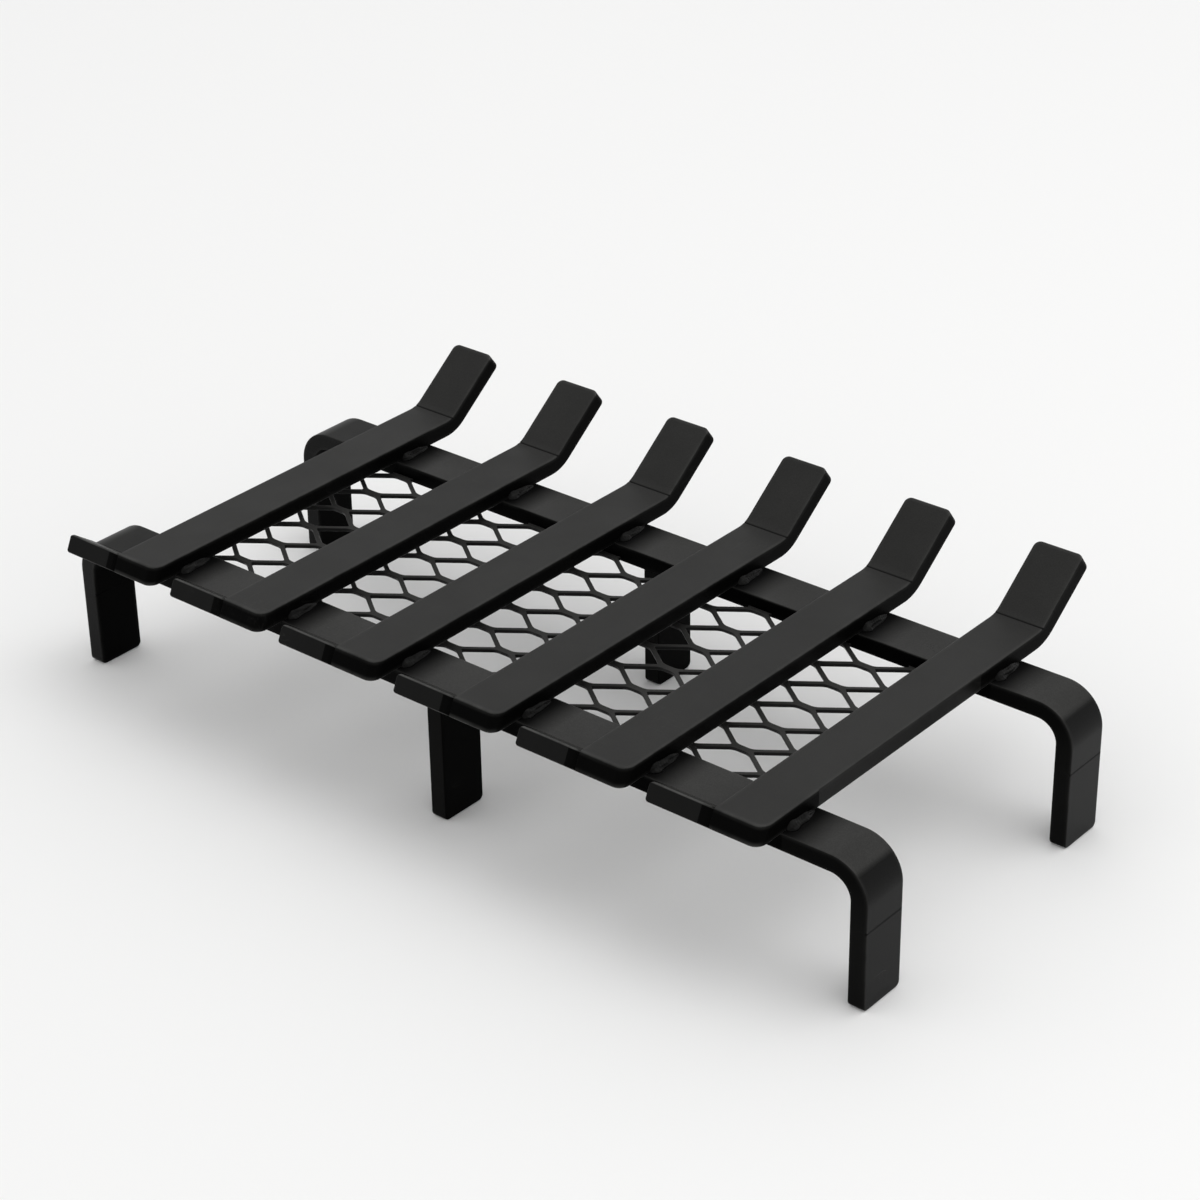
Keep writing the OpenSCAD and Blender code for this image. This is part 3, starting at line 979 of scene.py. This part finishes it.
def bead(bm, origin, side, up, leg, long, sizes, seed):
    """One fillet bead in the corner at origin, opening to side in X and up in Z. It starts with a round
    lump at its front end, runs on in ripples and thins out towards its back end."""
    layer = rub_layer(bm)
    around, count = 14, 76  # steps across and along it
    own = noise.noise(Vector((seed * 5.3, 0.7, 0.2)))
    rings = []
    for k in range(count + 1):
        here = long * k / count
        start = min(1.0, here / sizes.run_in)
        rest = min(1.0, (long - here) / (sizes.run_out * (1 + 0.3 * own)))
        taper = max(0.10, math.sqrt(1 - (1 - start) ** 2) * rest**0.6)
        lump_at = (here - 1.1 * sizes.run_in) / (0.75 * sizes.run_in)
        body = 0.80 + 0.06 * own - 0.10 * here / long + (0.15 + 0.07 * own) * math.exp(-lump_at**2)
        ring = [bm.verts.new((origin[0], origin[1] - long / 2 + here, origin[2]))]
        for j in range(around + 1):
            a = math.pi / 2 * j / around
            mid = math.sin(2 * a)
            flat = (1 / (math.cos(a) + math.sin(a))) ** sizes.flat_face
            swirl = here + 0.0014 * mid + 0.0007 * noise.noise(Vector((seed * 3.1, here * 260, a)))
            phase = (swirl / sizes.ripple) % 1.0
            coin = math.sqrt(max(0.0, 1 - (1.7 * phase - 0.85) ** 2))
            lump = noise.noise(Vector((seed * 7.7, here * 130, a * 1.5)))
            fine = 0.035 * noise.noise(Vector((seed * 1.3, here * 420, a * 3.2)))
            size = body + sizes.lump_share * lump * (0.35 + 0.65 * mid) + fine
            size += sizes.ripple_share * (coin - 0.85) * (0.3 + 0.7 * mid)
            reach = leg * min(1.0, size * taper) * flat
            ring.append(bm.verts.new((
                origin[0] + side * reach * math.cos(a), ring[0].co.y, origin[2] + up * reach * math.sin(a)
            )))
            # painted glint and wear on the ripples' crests
            ring[-1][layer] = max(0.0, 0.8 * coin * mid * (0.5 + lump))
        rings.append(ring)
    join_rings(bm, rings)
    bm.faces.new(rings[0])
    bm.faces.new(rings[-1])


class GRATE_OT_welds(bpy.types.Operator):
    """Lays the rippled beads beside the bars on both rails and at the tops of the middle legs"""

    bl_idname = "grate.welds"
    bl_label = "Weld Beads"

    def execute(self, context):
        sizes = context.scene.weld_sizes
        coat = black_coat(
            "weld_black_powder", "weld", 0.26, rub=0.12, ash=0.02, scuff=0.0, peel=0.0006, gloss=0.046
        )
        seed = sizes.seed
        for node in ("welds_front_rail", "welds_rear_rail"):
            low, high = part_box(node)
            middle, long = (low.y + high.y) / 2, high.y - low.y
            leg = high.z - low.z
            bm = bmesh.new()
            for name in BARS:
                bar_low, bar_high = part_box(name)
                for side, x in ((-1, bar_low.x), (1, bar_high.x)):
                    seed += 1
                    bead(bm, (x, middle, RAIL_TOP), side, 1, leg, long, sizes, seed)
            add_piece("dressed_" + node, bm, [node], "weld_coat", coat)
        low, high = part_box("welds_middle_legs")
        leg = high.z - low.z
        long = 2 * (high.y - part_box("middle_leg_rear")[0].y - STOCK_W / 2)
        bm = bmesh.new()
        for name in MIDDLE_LEGS:
            leg_low, leg_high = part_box(name)
            middle = (leg_low.y + leg_high.y) / 2
            for side, x in ((-1, leg_low.x), (1, leg_high.x)):
                seed += 1
                bead(bm, (x, middle, RAIL_BOTTOM), side, -1, leg, long, sizes, seed)
        add_piece("dressed_welds_middle_legs", bm, ["welds_middle_legs"], "weld_coat", coat)
        return {"FINISHED"}


# ------------------------------------------------------------------ stage


def soft_lamp(name, power, size, at, towards):
    """A large soft square lamp."""
    data = bpy.data.lights.new(name, "AREA")
    data.energy = power
    data.shape = "RECTANGLE"
    data.size = data.size_y = size
    lamp = bpy.data.objects.new(name, data)
    lamp.location = at
    lamp.rotation_mode = "QUATERNION"
    lamp.rotation_quaternion = (Vector(towards) - Vector(at)).to_track_quat("-Z", "Y")
    bpy.context.scene.collection.objects.link(lamp)


class GRATE_OT_stage(bpy.types.Operator):
    """Lays the pale floor and sets the soft lamps, the air and the camera"""

    bl_idname = "grate.stage"
    bl_label = "Stage"

    def execute(self, context):
        scene = context.scene
        stage = scene.stage_settings
        half_floor, below_feet = 9.0, 0.0002
        bm = bmesh.new()
        bmesh.ops.create_grid(bm, x_segments=8, y_segments=8, size=half_floor)
        for v in bm.verts:
            v.co.z = -below_feet
        data = bpy.data.meshes.new("studio_floor")
        bm.to_mesh(data)
        bm.free()
        floor = bpy.data.objects.new("studio_floor", data)
        scene.collection.objects.link(floor)
        material = bpy.data.materials.new("studio_floor_paint")
        material.use_nodes = True
        shader = material.node_tree.nodes["Principled BSDF"]
        shader.inputs["Base Color"].default_value = (*stage.floor, 1.0)
        shader.inputs["Roughness"].default_value = 0.75
        shader.inputs["Specular IOR Level"].default_value = 0.2
        data.materials.append(material)

        world = bpy.data.worlds.new("studio_air")
        scene.world = world
        world.use_nodes = True
        world.node_tree.nodes.clear()
        air = Wiring(world.node_tree)
        path = air.node("ShaderNodeLightPath")
        seen = air.math("MAXIMUM", path.outputs["Is Camera Ray"], path.outputs["Is Glossy Ray"])
        seen = air.math("MAXIMUM", seen, path.outputs["Is Transmission Ray"])
        blend = air.node("ShaderNodeMixShader")
        air.link(seen, blend.inputs["Fac"])
        for socket, strength in ((1, stage.air_strength), (2, 1.0)):  # what lights, and what is seen
            light = air.node("ShaderNodeBackground")
            light.inputs["Color"].default_value = (*stage.air, 1.0)
            light.inputs["Strength"].default_value = strength
            air.link(light.outputs["Background"], blend.inputs[socket])
        air.link(blend.outputs["Shader"], air.node("ShaderNodeOutputWorld").inputs["Surface"])

        soft_lamp("overhead_lamp", stage.overhead, 3.3, at=(1.95, 1.25, 4.5), towards=(0.0, 0.0, 0.0))
        soft_lamp("side_lamp", stage.side, 1.4, at=(2.2, 0.3, 0.9), towards=(0.0, 0.0, 0.05))

        data = bpy.data.cameras.new("photo_camera")
        data.lens = stage.lens
        data.sensor_width = 36.0
        data.clip_start, data.clip_end = 0.05, 60.0
        camera = bpy.data.objects.new("photo_camera", data)
        scene.collection.objects.link(camera)
        at = Vector((1.1931, -1.40637, 1.1157))
        yaw, pitch, roll = -0.70040, 0.50390, -0.016697
        ahead = math.cos(pitch)
        forward = Vector((math.sin(yaw) * ahead, math.cos(yaw) * ahead, -math.sin(pitch)))
        level = Vector((math.cos(yaw), -math.sin(yaw), 0.0))
        rise = level.cross(forward)
        right = level * math.cos(roll) + rise * math.sin(roll)
        up = rise * math.cos(roll) - level * math.sin(roll)
        turn = Matrix((right, up, -forward)).transposed()
        camera.matrix_world = Matrix.Translation(at) @ turn.to_4x4()
        scene.camera = camera
        scene.view_settings.view_transform = "Standard"
        return {"FINISHED"}


class GRATE_PT_panel(bpy.types.Panel):
    """Lists the steps that build the grate"""

    bl_idname = "GRATE_PT_panel"
    bl_label = "Log Grate"
    bl_space_type = "VIEW_3D"
    bl_region_type = "UI"
    bl_category = "Log Grate"

    def draw(self, context):
        for step in STEPS:
            self.layout.operator(step.bl_idname)
        for name in SETTINGS:
            box = self.layout.box()
            settings = getattr(context.scene, name)
            for key in settings.__annotations__:
                box.prop(settings, key)


STEPS = (
    GRATE_OT_bars, GRATE_OT_stops, GRATE_OT_rails, GRATE_OT_legs,
    GRATE_OT_mesh, GRATE_OT_welds, GRATE_OT_stage,
)
SETTINGS = {
    "grate_sizes": GrateSizes,
    "mesh_sizes": MeshSizes,
    "weld_sizes": WeldSizes,
    "grate_finish": GrateFinish,
    "stage_settings": StageSettings,
}
CLASSES = (*SETTINGS.values(), *STEPS, GRATE_PT_panel)


def register():
    for made in CLASSES:
        bpy.utils.register_class(made)
    for name, group in SETTINGS.items():
        setattr(bpy.types.Scene, name, PointerProperty(type=group))


def unregister():
    for name in SETTINGS:
        delattr(bpy.types.Scene, name)
    for made in reversed(CLASSES):
        bpy.utils.unregister_class(made)


def main():
    register()
    bpy.ops.grate.bars()
    bpy.ops.grate.stops()
    bpy.ops.grate.rails()
    bpy.ops.grate.legs()
    bpy.ops.grate.ember_mesh()
    bpy.ops.grate.welds()
    bpy.ops.grate.stage()
    bpy.context.view_layer.update()


if __name__ == "__main__":
    main()
